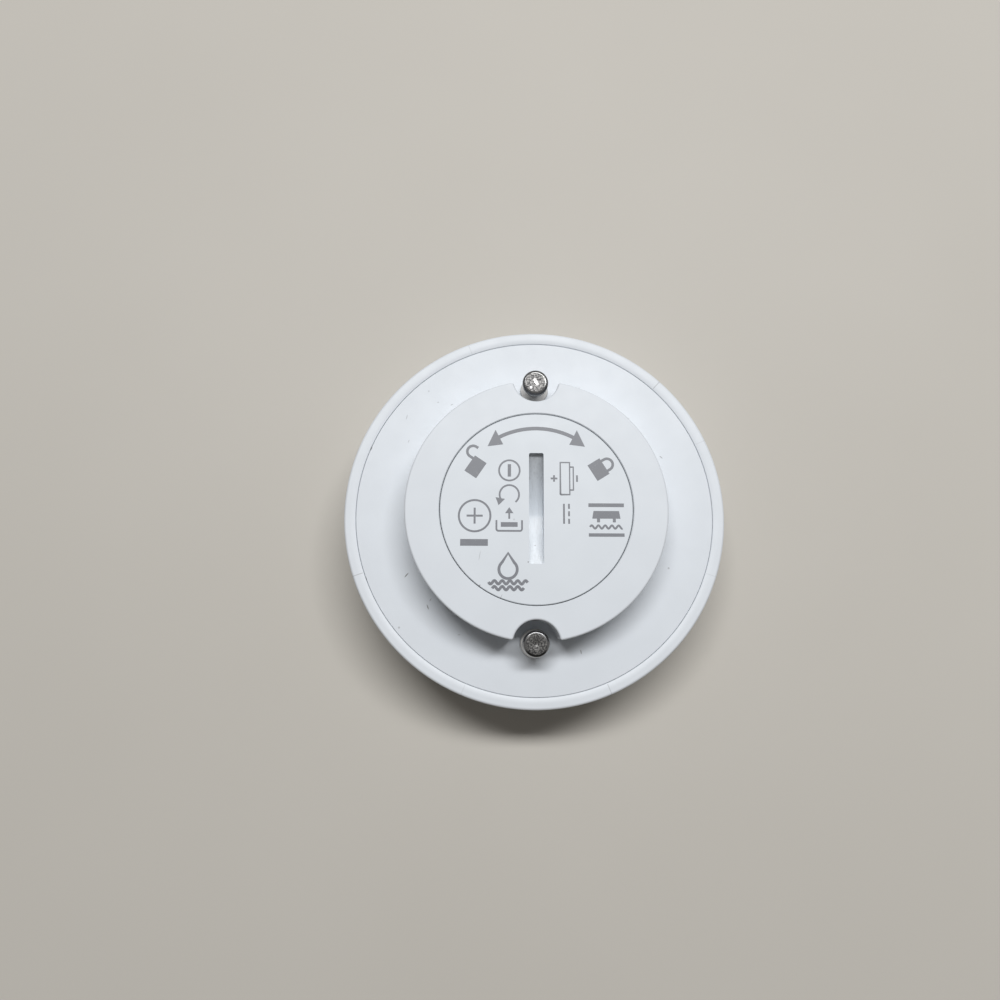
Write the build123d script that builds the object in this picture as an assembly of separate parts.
from build123d import *
import os
from math import atan2, degrees, hypot, sqrt

os.makedirs("parts", exist_ok=True)

# A round water leak sensor that lies on its front face. Z = 0 is the front face, and +Z points
# out of the underside, which stands on the floor in use. The origin is the middle of the front.
# Lengths are in millimetres and angles in degrees. The sizes across build outwards from the
# coin cell: well, door, foot, then the base and rim, 60 mm across in all.

# Outer form
base_margin = 10.25         # base plate and rim, outside the foot
body_height = 13.4          # front face to the base plane, and to the seam round it
body_draft = 0.5            # the side wall leans in by this much towards the front
rim_rise = 0.14             # top of the rim, above the base plane
rim_slope_width = 0.5       # the rim slopes down to the seam over this much of its inside
rim_slope_round = 3.0       # roll from the rim's top into that slope
rim_land = 0.6              # upright part of the wall just below the rim's edge
front_edge_radius = 3.0
rim_edge_radius = 0.4
rim_lip_radius = 0.12       # inner edge of the rim, at the seam
front_wall = 2.0
rim_wall = 1.85
side_wall = 2.4             # below the ledge that carries the base plate
inner_corner_bevel = 1.0
seam_gap = 0.05
seam_edge_bevel = 0.06      # edge of the base plate

# Base plate and foot
plate_thickness = 2.0
foot_margin = 5.23          # foot's face, outside the door's recess
foot_height = 6.6           # base plane to the foot's face
foot_wall = 1.6
foot_edge_radius = 0.3
foot_rib_count = 8
foot_rib_angle = 22.5
foot_rib_thickness = 1.0
notch_radius = 3.5
notch_wall = 1.2
notch_corner_radius = 0.35

# Skirt under the base plate, its gasket and the snaps
skirt_gap = 0.8             # between the skirt and the casing's inner wall
skirt_wall = 1.2
skirt_height = 3.0
seal_groove_depth = 0.5
seal_groove_height = 1.2
seal_groove_drop = 1.0      # below the plate
snap_count = 6
hook_sweep = 10.0
hook_reach = 0.65
hook_length = 2.9
hook_land = 0.5
hook_barb = 1.4
catch_sweep = 12.0
catch_reach = 0.6
catch_height = 1.0
snap_gap = 0.1

# Battery door and its bayonet
door_margin = 1.62          # the door's flange is this much wider than the bore, each side
door_gap = 0.1
door_recess = 0.05          # the door lies this far inside the foot's face
door_flange = 0.9
door_thickness = 1.8
door_lift = 0.1             # the door rides this far above its ledge
door_seal_gap = 0.05        # round the seal's section
door_seal_sides = 8
door_edge_bevel = 0.12
spigot_gap = 0.2
spigot_wall = 1.2
bore_margin = 2.8           # the door's bore is this much wider than the cell, each side
ledge_thickness = 1.4
chamber_height = 1.5
tube_wall = 1.4
lug_count = 3
lug_sweep = 24.0
lug_thickness = 1.2
lug_reach = 1.2
lug_angle = 90.0            # middle of the first lug with the door closed
lug_slack = 1.5             # extra on each side of the slots in the ledge, in degrees
lug_clearance = 0.2
stop_sweep = 6.0
stop_slack = 0.5
open_turn = 45.0            # turn from closed to where the lugs meet their slots
coin_slot_length = 16.7
coin_slot_width = 2.2
coin_radius = 13.4          # curve of the slot's floor
coin_slot_corner = 0.25
coin_slot_end = 0.6         # depth of the slot at its ends
slot_housing_wall = 0.8
slot_housing_side = 1.2
door_rib_count = 6
door_rib_thickness = 0.8
door_rib_height = 0.8

# Coin cell and its well
cell_diameter = 20.0
cell_height = 3.2
cell_clearance = 0.4
can_wall = 0.25
can_edge_bevel = 0.2
cap_inset = 1.2             # the cap is this much smaller than the can, each side
cell_gasket_drop = 0.1      # the gasket's end lies this far inside the can's end
well_wall = 2.0
well_floor = 1.0
well_floor_gap = 0.7        # between the well's floor and the cell
chamber_floor = 1.0

# Battery contacts
contact_thickness = 0.25
contact_width = 4.0
contact_slack = 0.3
contact_foot = 1.5
positive_pocket = 1.1
positive_bow_height = 0.7
negative_leg_inset = 3.5    # inside the cell's edge
negative_tip_inset = 4.0
negative_bend_offset = 2.0
negative_split = 1.0

# Probes
probe_setout = 0.25         # probe and notch centre, outside the foot's edge
probe_head_diameter = 4.0
probe_head_height = 1.3
probe_head_radius = 0.5
probe_drop = 1.5            # head below the foot's face
probe_shank_diameter = 2.3
probe_collar_diameter = 4.4
probe_collar_height = 0.7
probe_tail_diameter = 2.0
probe_tail_gap = 0.5        # between the tail's end and the board
probe_hole_clearance = 0.05
probe_dimple_radius = 0.3
probe_dimple_depth = 0.2
probe_seal_width = 0.8
probe_seal_height = 0.9
nut_width = 4.0
nut_sides = 6
nut_height = 1.6
leaf_thickness = 0.2
leaf_width = 1.6
leaf_foot = 1.4
leaf_rise_length = 0.6
leaf_pad = 1.2

# Circuit board
board_gap = 0.6             # between the board and the skirt
board_thickness = 1.2
board_drop = 2.4            # below the base plate
board_post_radius = 2.2
board_post_inset = 3.5
board_post_count = 4
board_post_angle = 45.0
screw_radius = 0.8
screw_length = 4.4
screw_head_radius = 1.8
screw_head_height = 1.1
screw_head_edge = 0.4
screw_cross_width = 0.5
screw_cross_length = 2.0
screw_cross_depth = 0.6
screw_hole_clearance = 0.3

# Pairing button and its switch
button_radius = 6.0
button_clearance = 0.05
button_recess = 0.3
button_face = 1.2
button_skirt = 1.0
button_flange_reach = 1.0
button_flange_thickness = 0.7
button_flange_gap = 0.05
button_edge_bevel = 0.3
button_stem_radius = 1.6
guard_gap = 0.4
guard_wall = 1.0
guard_height = 1.0
switch_width = 6.0
switch_height = 3.1
switch_corner = 0.6
plunger_radius = 1.75
plunger_reach = 0.75        # stands out of the switch at rest
plunger_clearance = 0.05
plunger_depth = 0.9         # inside the switch at rest
plunger_bore_depth = 1.5

# Lamp, light guide and the stiffening ribs of the front
lamp_setout = 2.1           # outside the button's guard
lamp_length = 3.2
lamp_width = 2.8
lamp_height = 1.9
lamp_dome_radius = 1.0
lamp_dome_height = 0.2
guide_radius = 1.0
guide_recess = 0.05
guide_flange_radius = 1.7
guide_flange_height = 0.5
guide_boss_radius = 2.2
guide_boss_height = 0.6
guide_gap = 0.2             # between guide and lamp
front_rib_count = 6
front_rib_angle = 30.0
front_rib_thickness = 1.0
front_rib_height = 0.8

# Radio module and small parts on the board
radio_start = 6.0           # from the middle to the module's near end
radio_inset = 3.0           # from its far end to the board's edge
radio_width = 13.0
radio_thickness = 0.8
shield_margin = 1.2         # between the module's near end and the shield
shield_side = 1.0
shield_height = 1.8
shield_edge = 0.3
antenna_thickness = 0.2
antenna_track = 0.5
antenna_reach = 3.4
antenna_pitch = 1.2
antenna_turns = 4
antenna_gap = 0.8           # between shield and track
antenna_margin = 0.6        # between track and far end
chip_length = 4.9
chip_width = 3.9
chip_height = 1.5
chip_lift = 0.1
chip_shares = (0.5, -0.34)  # place on the board, in board radii
chip_leg_count = 4
chip_leg_pitch = 1.27
chip_leg_width = 0.4
chip_leg_reach = 1.0
chip_leg_thickness = 0.2
capacitor_length = 2.0
capacitor_width = 1.25
capacitor_height = 0.9
capacitor_count = 5
capacitor_pitch = 2.4
capacitor_shares = (0.44, 0.5)

full_turn = 360.0
quarter_turn = 90.0
cut_over = 1.0              # how far a cut runs past the face it opens

# Radii and heights that follow
cell_radius = cell_diameter / 2
well_radius = cell_radius + cell_clearance
well_outer = well_radius + well_wall
bore_radius = cell_radius + bore_margin
spigot_outer = bore_radius - spigot_gap
spigot_inner = spigot_outer - spigot_wall
lug_outer = spigot_outer + lug_reach
chamber_radius = lug_outer + 2 * lug_clearance
tube_outer = chamber_radius + tube_wall
door_radius = bore_radius + door_margin
recess_radius = door_radius + door_gap
foot_radius = recess_radius + foot_margin
probe_offset = foot_radius + probe_setout
body_radius = foot_radius + base_margin
foot_top = body_height + foot_height
rim_top = body_height + rim_rise
rim_inner_radius = body_radius - rim_wall
shell_inner_radius = body_radius - side_wall
plate_radius = rim_inner_radius - seam_gap
plate_bottom = body_height - plate_thickness

skirt_outer = shell_inner_radius - skirt_gap
skirt_inner = skirt_outer - skirt_wall
skirt_bottom = plate_bottom - skirt_height
groove_top = plate_bottom - seal_groove_drop
groove_bottom = groove_top - seal_groove_height
hook_bottom = skirt_bottom - hook_length
hook_top = hook_bottom + hook_barb

door_top = foot_top - door_recess
door_bottom = door_top - door_thickness
ledge_top = door_bottom - door_lift
ledge_bottom = ledge_top - ledge_thickness
chamber_bottom = ledge_bottom - chamber_height
seal_room = door_thickness - door_flange
neck_radius = recess_radius - seal_room
lug_top = ledge_bottom - (chamber_height - lug_thickness) / 2
lug_bottom = lug_top - lug_thickness
coin_axis_height = door_top - coin_slot_end + sqrt(coin_radius**2 - (coin_slot_length / 2) ** 2)

slot_floor = coin_axis_height - coin_radius
cell_top = slot_floor - slot_housing_wall - lug_clearance
cell_bottom = cell_top - cell_height
cap_radius = cell_radius - cap_inset
well_top_of_floor = cell_bottom - well_floor_gap
well_bottom = well_top_of_floor - well_floor

board_top = plate_bottom - board_drop
board_bottom = board_top - board_thickness
board_radius = skirt_inner - board_gap
radio_length = board_radius - radio_inset - radio_start
radio_bottom = board_bottom - radio_thickness
shield_start = radio_start + shield_margin
antenna_start = radio_start + radio_length - antenna_margin - antenna_reach
switch_bottom = board_bottom - switch_height
button_top = button_recess + button_face
stem_end = switch_bottom - plunger_reach
guard_inner = button_radius + button_flange_reach + guard_gap
guard_outer = guard_inner + guard_wall
lamp_offset = guard_outer + lamp_setout


def disc(radius, low, high):
    """A round plate on the sensor's axis, between two heights."""
    return Pos(Z=low) * Cylinder(radius, high - low, align=(Align.CENTER, Align.CENTER, Align.MIN))


def ring(outer, inner, low, high):
    """A tube on the sensor's axis, between two heights."""
    return disc(outer, low, high) - disc(inner, low, high)


def slab(length, width, low, high):
    """A rectangular block on the sensor's axis, between two heights."""
    return Pos(Z=low) * Box(length, width, high - low, align=(Align.CENTER, Align.CENTER, Align.MIN))


def section(points, rounds=(), bevels=()):
    """A flat outline of (radius, height) points, with some corners rounded or bevelled."""
    outline = make_face(Polyline(*points, close=True))
    for place, radius in rounds:
        outline = fillet(outline.vertices().sort_by_distance(place)[0], radius)
    for place, length in bevels:
        outline = chamfer(outline.vertices().sort_by_distance(place)[0], length)
    return outline


def turned(outline, sweep=full_turn):
    """An outline of (radius, height) turned about the sensor's axis."""
    return revolve(Plane.XZ * outline, Axis.Z, sweep)


def arc_block(outer, inner, low, high, sweep, middle):
    """Part of a ring, centred on an angle."""
    corners = [(inner, low), (outer, low), (outer, high), (inner, high)]
    return Rot(Z=middle - sweep / 2) * turned(section(corners), sweep)


def bent_strip(points, thickness, width):
    """Sheet metal bent along (across, height) points, its width along Y."""
    outline = Sketch()
    for (x1, z1), (x2, z2) in zip(points, points[1:]):
        run = Rectangle(hypot(x2 - x1, z2 - z1), thickness)
        outline += Pos((x1 + x2) / 2, (z1 + z2) / 2) * Rot(Z=degrees(atan2(z2 - z1, x2 - x1))) * run
    for x, z in points[1:-1]:
        outline += Pos(x, z) * Circle(thickness / 2)
    return extrude(Plane.XZ * outline, width / 2, both=True)


def turns(count, first=0):
    """Equal angles round the axis."""
    return [first + full_turn * i / count for i in range(count)]


def post_places():
    """Where the board is screwed to the base plate."""
    return PolarLocations(board_radius - board_post_inset, board_post_count, board_post_angle)


def probe_places():
    """The two probes, one in each notch."""
    return [Pos(Y=probe_offset), Pos(Y=-probe_offset)]


def front_shell():
    """Outer casing: a cup with a rounded front edge and a ledge for the base plate."""
    points = [
        (0, 0),
        (body_radius - body_draft, 0),
        (body_radius, rim_top - rim_edge_radius - rim_land),
        (body_radius, rim_top),
        (rim_inner_radius + rim_slope_width, rim_top),
        (rim_inner_radius, body_height),
        (rim_inner_radius, plate_bottom),
        (shell_inner_radius, plate_bottom),
        (shell_inner_radius, front_wall),
        (0, front_wall),
    ]
    rounds = [
        (points[1], front_edge_radius),
        (points[3], rim_edge_radius),
        (points[4], rim_slope_round),
        (points[5], rim_lip_radius),
    ]
    shell = turned(section(points, rounds, [(points[8], inner_corner_bevel)]))
    rib_length = shell_inner_radius - guard_inner
    rib = Pos(X=guard_inner + rib_length / 2) * slab(
        rib_length, front_rib_thickness, front_wall, front_wall + front_rib_height
    )
    for angle in turns(front_rib_count, front_rib_angle):
        shell += Rot(Z=angle) * rib
    shell -= disc(guard_inner, front_wall, front_wall + guard_height)
    shell += ring(guard_outer, guard_inner, front_wall, front_wall + guard_height)
    lamp = Pos(X=lamp_offset)
    shell += lamp * disc(guide_boss_radius, front_wall, front_wall + guide_boss_height)
    shell -= lamp * disc(guide_radius, -cut_over, front_wall + guide_boss_height + cut_over)
    shell -= disc(button_radius + button_clearance, -cut_over, front_wall + cut_over)
    catch_top = hook_top + snap_gap + catch_height
    for angle in turns(snap_count):
        shell += arc_block(
            shell_inner_radius + rim_wall / 2,
            shell_inner_radius - catch_reach,
            hook_top + snap_gap,
            catch_top,
            catch_sweep,
            angle,
        )
    return shell


def base_plate():
    """Back moulding: plate, skirt with hooks, hollow foot, bayonet ring and cell well."""
    points = [
        (0, well_bottom),
        (well_outer, well_bottom),
        (well_outer, chamber_bottom - chamber_floor),
        (chamber_radius, chamber_bottom - chamber_floor),
        (chamber_radius, plate_bottom),
        (tube_outer, plate_bottom),
        (tube_outer, foot_top - foot_wall),
        (foot_radius - foot_wall, foot_top - foot_wall),
        (foot_radius - foot_wall, plate_bottom),
        (skirt_inner, plate_bottom),
        (skirt_inner, skirt_bottom),
        (skirt_outer, skirt_bottom),
        (skirt_outer, groove_bottom),
        (skirt_outer - seal_groove_depth, groove_bottom),
        (skirt_outer - seal_groove_depth, groove_top),
        (skirt_outer, groove_top),
        (skirt_outer, plate_bottom),
        (plate_radius, plate_bottom),
        (plate_radius, body_height),
        (foot_radius, body_height),
        (foot_radius, foot_top),
        (recess_radius, foot_top),
        (recess_radius, ledge_top),
        (bore_radius, ledge_top),
        (bore_radius, ledge_bottom),
        (chamber_radius, ledge_bottom),
        (chamber_radius, chamber_bottom),
        (well_radius, chamber_bottom),
        (well_radius, well_top_of_floor),
        (0, well_top_of_floor),
    ]
    bevels = [
        ((plate_radius, body_height), seam_edge_bevel),
        ((recess_radius, foot_top), door_edge_bevel),
    ]
    plate = turned(section(points, bevels=bevels))
    plate += foot_ribs() + notch_walls()
    plate -= notches()
    plate = rounded_foot(plate)
    plate += board_posts() + snap_hooks() + door_stops()
    plate -= lug_slots() + probe_holes() + screw_pilots() + contact_openings()
    return plate


def foot_ribs():
    """Ribs that tie the foot's wall to the bayonet tube."""
    length = foot_radius - foot_wall / 2 - (tube_outer - tube_wall / 2)
    middle = (foot_radius - foot_wall / 2 + tube_outer - tube_wall / 2) / 2
    rib = Pos(X=middle) * slab(length, foot_rib_thickness, plate_bottom, foot_top - foot_wall / 2)
    return Part() + [Rot(Z=angle) * rib for angle in turns(foot_rib_count, foot_rib_angle)]


def notch_walls():
    """Material round each notch, kept between the foot's outline and the door's recess."""
    wall = disc(notch_radius + notch_wall, plate_bottom, foot_top)
    both = Part() + [place * wall for place in probe_places()]
    return both & ring(foot_radius, recess_radius, plate_bottom, foot_top)


def notches():
    """The two round notches in the foot, down to the base plane."""
    cut = disc(notch_radius, body_height, foot_top + cut_over)
    return Part() + [place * cut for place in probe_places()]


def rounded_foot(plate):
    """Round the notches' corners, then the whole outline of the foot's face."""
    upright = plate.edges().filter_by(Axis.Z).filter_by(
        lambda edge: abs(hypot(edge.center().X, edge.center().Y) - foot_radius) < foot_edge_radius
        and edge.center().Z > body_height
    )
    plate = fillet(upright, notch_corner_radius)
    face = plate.faces().filter_by(Axis.Z).sort_by(Axis.Z)[-1]
    return fillet(face.outer_wire().edges(), foot_edge_radius)


def board_posts():
    """Posts under the plate that carry the circuit board."""
    post = disc(board_post_radius, board_top, plate_bottom)
    return Part() + [place * post for place in post_places()]


def screw_pilots():
    """Blind holes for the board screws."""
    hole = disc(screw_radius, board_top - cut_over, board_bottom + screw_length)
    return Part() + [place * hole for place in post_places()]


def snap_hooks():
    """Springy tongues with a barb, which catch under the casing's lugs."""
    barb = skirt_outer + hook_reach
    points = [
        (skirt_inner, skirt_bottom),
        (skirt_inner, hook_bottom),
        (skirt_outer - hook_land, hook_bottom),
        (barb, hook_top - hook_land),
        (barb, hook_top),
        (skirt_outer, hook_top),
        (skirt_outer, skirt_bottom),
    ]
    hook = turned(section(points), hook_sweep)
    return Part() + [Rot(Z=angle - hook_sweep / 2) * hook for angle in turns(snap_count)]


def lug_slots():
    """Gaps in the ledge, through which the door's lugs go in."""
    sweep = lug_sweep + 2 * lug_slack
    return Part() + [
        arc_block(
            lug_outer + lug_clearance,
            bore_radius - lug_clearance,
            ledge_bottom,
            ledge_top,
            sweep,
            angle + open_turn,
        )
        for angle in turns(lug_count, lug_angle)
    ]


def door_stops():
    """Blocks in the bayonet ring that stop each lug when closed and when open."""
    closed = -(lug_sweep + stop_sweep) / 2 - stop_slack
    opened = open_turn - closed
    return Part() + [
        arc_block(
            chamber_radius,
            bore_radius + lug_clearance,
            chamber_bottom,
            ledge_bottom,
            stop_sweep,
            angle + side,
        )
        for angle in turns(lug_count, lug_angle)
        for side in (closed, opened)
    ]


def probe_holes():
    """Hole for each probe's tail, with a seat for its seal under the collar."""
    tail = probe_tail_diameter / 2
    hole = disc(tail + probe_hole_clearance, plate_bottom - cut_over, body_height)
    hole += disc(tail + probe_seal_width, body_height - probe_seal_height, body_height + cut_over)
    return Part() + [place * hole for place in probe_places()]


def contact_openings():
    """Pocket in the well's wall for the positive spring, and a slot in its floor for each leg."""
    width = contact_width + contact_slack
    pocket_outer = well_radius + positive_pocket
    pocket = Pos(X=-pocket_outer + positive_pocket) * slab(
        2 * positive_pocket, width, well_bottom - cut_over, chamber_bottom + cut_over
    )
    leg = Pos(X=cell_radius - negative_leg_inset) * slab(
        contact_thickness + 2 * contact_slack, width, well_bottom - cut_over, well_top_of_floor + cut_over
    )
    return pocket + leg


def shell_seal():
    """Gasket in the skirt's groove, against the casing's inner wall."""
    inner = skirt_outer - seal_groove_depth
    return ring(shell_inner_radius, inner, groove_bottom, groove_top)


def battery_door():
    """Round door: flange, neck for the seal, spigot with bayonet lugs, and the coin slot."""
    points = [
        (0, door_bottom),
        (spigot_inner, door_bottom),
        (spigot_inner, lug_bottom),
        (spigot_outer, lug_bottom),
        (spigot_outer, door_bottom),
        (neck_radius, door_bottom),
        (neck_radius, door_top - door_flange),
        (door_radius, door_top - door_flange),
        (door_radius, door_top),
        (0, door_top),
    ]
    door = turned(section(points, bevels=[((door_radius, door_top), door_edge_bevel)]))
    for angle in turns(lug_count, lug_angle):
        door += arc_block(lug_outer, spigot_inner, lug_bottom, lug_top, lug_sweep, angle)
    rib_low = door_bottom - door_rib_height
    for angle in turns(door_rib_count):
        door += Rot(Z=angle) * Pos(X=spigot_inner / 2) * slab(
            spigot_inner, door_rib_thickness, rib_low, door_bottom
        )
    door += coin_housing()
    return door - coin_cut()


def coin_wheel(radius, width):
    """A wheel that lies like the coin in its slot."""
    return Pos(Z=coin_axis_height) * Rot(Y=quarter_turn) * Cylinder(radius, width)


def coin_housing():
    """Curved trough under the door, a wall thicker than the slot."""
    width = coin_slot_width + 2 * slot_housing_side
    trough = coin_wheel(coin_radius + slot_housing_wall, width)
    return trough & disc(spigot_inner, slot_floor - slot_housing_wall, door_top)


def coin_cut():
    """The slot itself, with a curved floor that a coin fits."""
    cut = coin_wheel(coin_radius, coin_slot_width)
    mouth = slab(coin_slot_width, coin_slot_length, slot_floor, door_top + cut_over)
    return cut & fillet(mouth.edges().filter_by(Axis.Z), coin_slot_corner)


def door_seal():
    """Ring seal between the door's neck and the wall of its recess."""
    rim = RegularPolygon(seal_room / 2 - door_seal_gap, door_seal_sides)
    return turned(Pos(neck_radius + seal_room / 2, door_bottom + seal_room / 2) * rim)


def cell_can():
    """Positive can: a cup whose flat end faces the door."""
    points = [
        (0, cell_top),
        (cell_radius, cell_top),
        (cell_radius, cell_bottom),
        (cell_radius - can_wall, cell_bottom),
        (cell_radius - can_wall, cell_top - can_wall),
        (0, cell_top - can_wall),
    ]
    return turned(section(points, bevels=[(points[1], can_edge_bevel)]))


def cell_cap():
    """Negative cap: a shallow lid at the other end, with its rim turned inside the can."""
    points = [
        (0, cell_bottom),
        (cap_radius, cell_bottom),
        (cap_radius, cell_bottom + cell_height / 2),
        (cap_radius - can_wall, cell_bottom + cell_height / 2),
        (cap_radius - can_wall, cell_bottom + can_wall),
        (0, cell_bottom + can_wall),
    ]
    return turned(section(points, bevels=[(points[1], can_wall / 2)]))


def cell_gasket():
    """Insulating ring between can and cap."""
    low = cell_bottom + cell_gasket_drop
    return ring(cell_radius - can_wall, cap_radius, low, cell_bottom + cell_height / 2)


def cell_core():
    """The pressed filling of the cell."""
    middle = cell_bottom + cell_height / 2
    lower = disc(cap_radius - can_wall, cell_bottom + can_wall, middle)
    return lower + disc(cell_radius - can_wall, middle, cell_top - can_wall)


def positive_contact():
    """Spring that stands in the well's pocket and bows against the can's side."""
    half = contact_thickness / 2
    back = -(well_radius + positive_pocket) + contact_slack + half
    bow = -cell_radius - half
    low = cell_bottom + positive_bow_height
    points = [
        (back - contact_foot, board_top + half),
        (back, board_top + half),
        (back, low - positive_bow_height),
        (bow, low + positive_bow_height / 2),
        (bow, low + positive_bow_height),
        (back, chamber_bottom - half),
    ]
    return bent_strip(points, contact_thickness, contact_width)


def negative_contact():
    """Leaf on the well's floor, with two fingers that lift the cell."""
    half = contact_thickness / 2
    leg = cell_radius - negative_leg_inset
    tip = cell_radius - negative_tip_inset
    points = [
        (leg + contact_foot, board_top + half),
        (leg, board_top + half),
        (leg, well_top_of_floor + half),
        (-negative_bend_offset, well_top_of_floor + half),
        (-tip, cell_bottom - half),
    ]
    leaf = bent_strip(points, contact_thickness, contact_width)
    gap = Pos(X=-tip) * slab(
        2 * (tip - negative_bend_offset), negative_split, well_top_of_floor, cell_bottom
    )
    return leaf - gap


def probe():
    """Turned stud: head with a rounded edge and a centre dimple, shank, collar and tail."""
    head = probe_head_diameter / 2
    shank = probe_shank_diameter / 2
    collar = probe_collar_diameter / 2
    tail = probe_tail_diameter / 2
    top = foot_top - probe_drop
    points = [
        (0, board_top + probe_tail_gap),
        (tail, board_top + probe_tail_gap),
        (tail, body_height),
        (collar, body_height),
        (collar, body_height + probe_collar_height),
        (shank, body_height + probe_collar_height),
        (shank, top - probe_head_height),
        (head, top - probe_head_height),
        (head, top),
        (probe_dimple_radius, top),
        (0, top - probe_dimple_depth),
    ]
    return turned(section(points, [((head, top), probe_head_radius)]))


def probe_seal():
    """Ring under the probe's collar."""
    tail = probe_tail_diameter / 2
    return ring(tail + probe_seal_width, tail, body_height - probe_seal_height, body_height)


def probe_nut():
    """Hexagon nut that draws the probe down on its seal."""
    blank = extrude(RegularPolygon(nut_width / 2, nut_sides, major_radius=False), nut_height)
    nut = Pos(Z=plate_bottom - nut_height) * blank
    return nut - disc(probe_tail_diameter / 2, plate_bottom - nut_height, plate_bottom)


def probe_spring():
    """Leaf soldered to the board, which presses on the end of the probe's tail."""
    half = leaf_thickness / 2
    high = board_top + probe_tail_gap - half
    start = -leaf_pad / 2 - leaf_rise_length
    points = [
        (start - leaf_foot, board_top + half),
        (start, board_top + half),
        (-leaf_pad / 2, high),
        (leaf_pad / 2, high),
    ]
    return bent_strip(points, leaf_thickness, leaf_width)


def circuit_board():
    """Round board under the posts, with a hole for each screw."""
    board = disc(board_radius, board_bottom, board_top)
    hole = disc(screw_radius + screw_hole_clearance, board_bottom, board_top)
    return board - [place * hole for place in post_places()]


def board_screws():
    """Cross-recessed screws that hold the board to its posts."""
    head_low = board_bottom - screw_head_height
    head = disc(screw_head_radius, head_low, board_bottom)
    head = chamfer(head.edges().sort_by(Axis.Z)[0], screw_head_edge)
    arm = slab(screw_cross_length, screw_cross_width, head_low, head_low + screw_cross_depth)
    screw = head - (arm + Rot(Z=quarter_turn) * arm)
    screw += disc(screw_radius, board_bottom, board_bottom + screw_length)
    return Compound(children=[place * screw for place in post_places()])


def front_button():
    """Cap in the middle of the front, with an inner flange and a stem for the switch."""
    outer = button_radius + button_flange_reach
    flange_low = front_wall + button_flange_gap
    flange_high = flange_low + button_flange_thickness
    points = [
        (0, button_recess),
        (button_radius, button_recess),
        (button_radius, flange_low),
        (outer, flange_low),
        (outer, flange_high),
        (button_radius - button_skirt, flange_high),
        (button_radius - button_skirt, button_top),
        (button_stem_radius, button_top),
        (button_stem_radius, stem_end),
        (0, stem_end),
    ]
    return turned(section(points, bevels=[(points[1], button_edge_bevel)]))


def switch_body():
    """Square switch under the board, with a bore for its plunger."""
    body = slab(switch_width, switch_width, switch_bottom, board_bottom)
    body = fillet(body.edges().filter_by(Axis.Z), switch_corner)
    return body - disc(
        plunger_radius + plunger_clearance, switch_bottom - cut_over, switch_bottom + plunger_bore_depth
    )


def switch_plunger():
    """Round plunger between the switch and the button's stem."""
    return disc(plunger_radius, stem_end, switch_bottom + plunger_depth)


def status_led():
    """Lamp on the board over the light guide."""
    low = board_bottom - lamp_height
    lamp = slab(lamp_length, lamp_width, low, board_bottom)
    return Pos(X=lamp_offset) * (lamp + disc(lamp_dome_radius, low - lamp_dome_height, low))


def light_guide():
    """Clear rod from the lamp to the front face, with a flange on its boss."""
    boss_top = front_wall + guide_boss_height
    top = board_bottom - lamp_height - lamp_dome_height - guide_gap
    rod = disc(guide_radius, guide_recess, top)
    return Pos(X=lamp_offset) * (rod + disc(guide_flange_radius, boss_top, boss_top + guide_flange_height))


def radio_board():
    """Small board of the radio module, on the main board."""
    middle = radio_start + radio_length / 2
    return Pos(X=-middle) * slab(radio_length, radio_width, radio_bottom, board_bottom)


def radio_shield():
    """Metal can over the radio's chips."""
    length = antenna_start - antenna_gap - shield_start
    can = slab(length, radio_width - 2 * shield_side, radio_bottom - shield_height, radio_bottom)
    return Pos(X=-shield_start - length / 2) * fillet(can.edges().group_by(Axis.Z)[0], shield_edge)


def radio_antenna():
    """Flat track in a meander beside the shield."""
    low = radio_bottom - antenna_thickness
    length = (2 * antenna_turns - 1) * antenna_pitch
    start = -length / 2
    track = Part()
    for i in range(2 * antenna_turns):
        y = start + i * antenna_pitch
        track += Pos(Y=y) * slab(antenna_reach, antenna_track, low, radio_bottom)
        if i:
            side = antenna_reach / 2 - antenna_track / 2
            end = side if i % 2 else -side
            track += Pos(end, y - antenna_pitch / 2) * slab(antenna_track, antenna_pitch, low, radio_bottom)
    return Pos(X=-antenna_start - antenna_reach / 2) * track


def sense_chip():
    """Flat chip with a row of legs on each side."""
    body_high = board_bottom - chip_lift
    chip = slab(chip_length, chip_width, board_bottom - chip_height, body_high)
    reach = chip_width + 2 * chip_leg_reach
    leg = slab(chip_leg_width, reach, board_bottom - chip_leg_thickness, board_bottom)
    for place in GridLocations(chip_leg_pitch, 0, chip_leg_count, 1):
        chip += place * leg
    across, along = chip_shares
    return Pos(across * board_radius, along * board_radius) * chip


def board_capacitors():
    """Row of small chip capacitors."""
    piece = slab(capacitor_length, capacitor_width, board_bottom - capacitor_height, board_bottom)
    row = GridLocations(0, capacitor_pitch, 1, capacitor_count)
    across, along = capacitor_shares
    return Pos(across * board_radius, along * board_radius) * Compound(
        children=[place * piece for place in row]
    )


def save(name, shape):
    """Write one node."""
    export_step(shape, f"parts/{name}.step")


pieces = [
    front_shell,
    base_plate,
    shell_seal,
    battery_door,
    door_seal,
    cell_can,
    cell_cap,
    cell_gasket,
    cell_core,
    positive_contact,
    negative_contact,
    circuit_board,
    board_screws,
    front_button,
    switch_body,
    switch_plunger,
    status_led,
    light_guide,
    radio_board,
    radio_shield,
    radio_antenna,
    sense_chip,
    board_capacitors,
]
for piece in pieces:
    save(piece.__name__, piece())

for number, place in enumerate(probe_places(), start=1):
    for piece in (probe, probe_seal, probe_nut, probe_spring):
        save(f"{piece.__name__}_{number}", place * piece())
